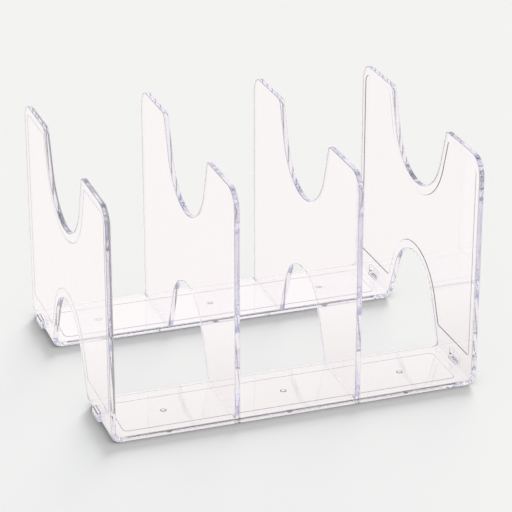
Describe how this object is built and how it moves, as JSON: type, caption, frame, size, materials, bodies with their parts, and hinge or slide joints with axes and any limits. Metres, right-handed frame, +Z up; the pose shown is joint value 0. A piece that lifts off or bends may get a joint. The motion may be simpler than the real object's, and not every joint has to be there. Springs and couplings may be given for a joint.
{
  "type": "desktop file sorter",
  "caption": "Clear desktop file sorter: upright notched panels on front and rear base rails, open bays between them, link slots and pegs at the ends.",
  "frame": {"origin": "centre of the footprint's bounding box, on the surface that the sorter stands on", "axes": "+X across the bays towards the end with the link slots, +Y from the front to the rear, +Z up"},
  "size_m": [0.2708, 0.215, 0.171],
  "materials": {
    "clear_plastic": "clear moulded polystyrene, polished faces, cut edges with a faint violet-blue tint"
  },
  "bodies": {
    "root": {"left_end_panel": "clear_plastic", "left_divider": "clear_plastic", "right_divider": "clear_plastic", "right_end_panel": "clear_plastic", "front_base_rail": "clear_plastic", "rear_base_rail": "clear_plastic"}
  },
  "joints": []
}
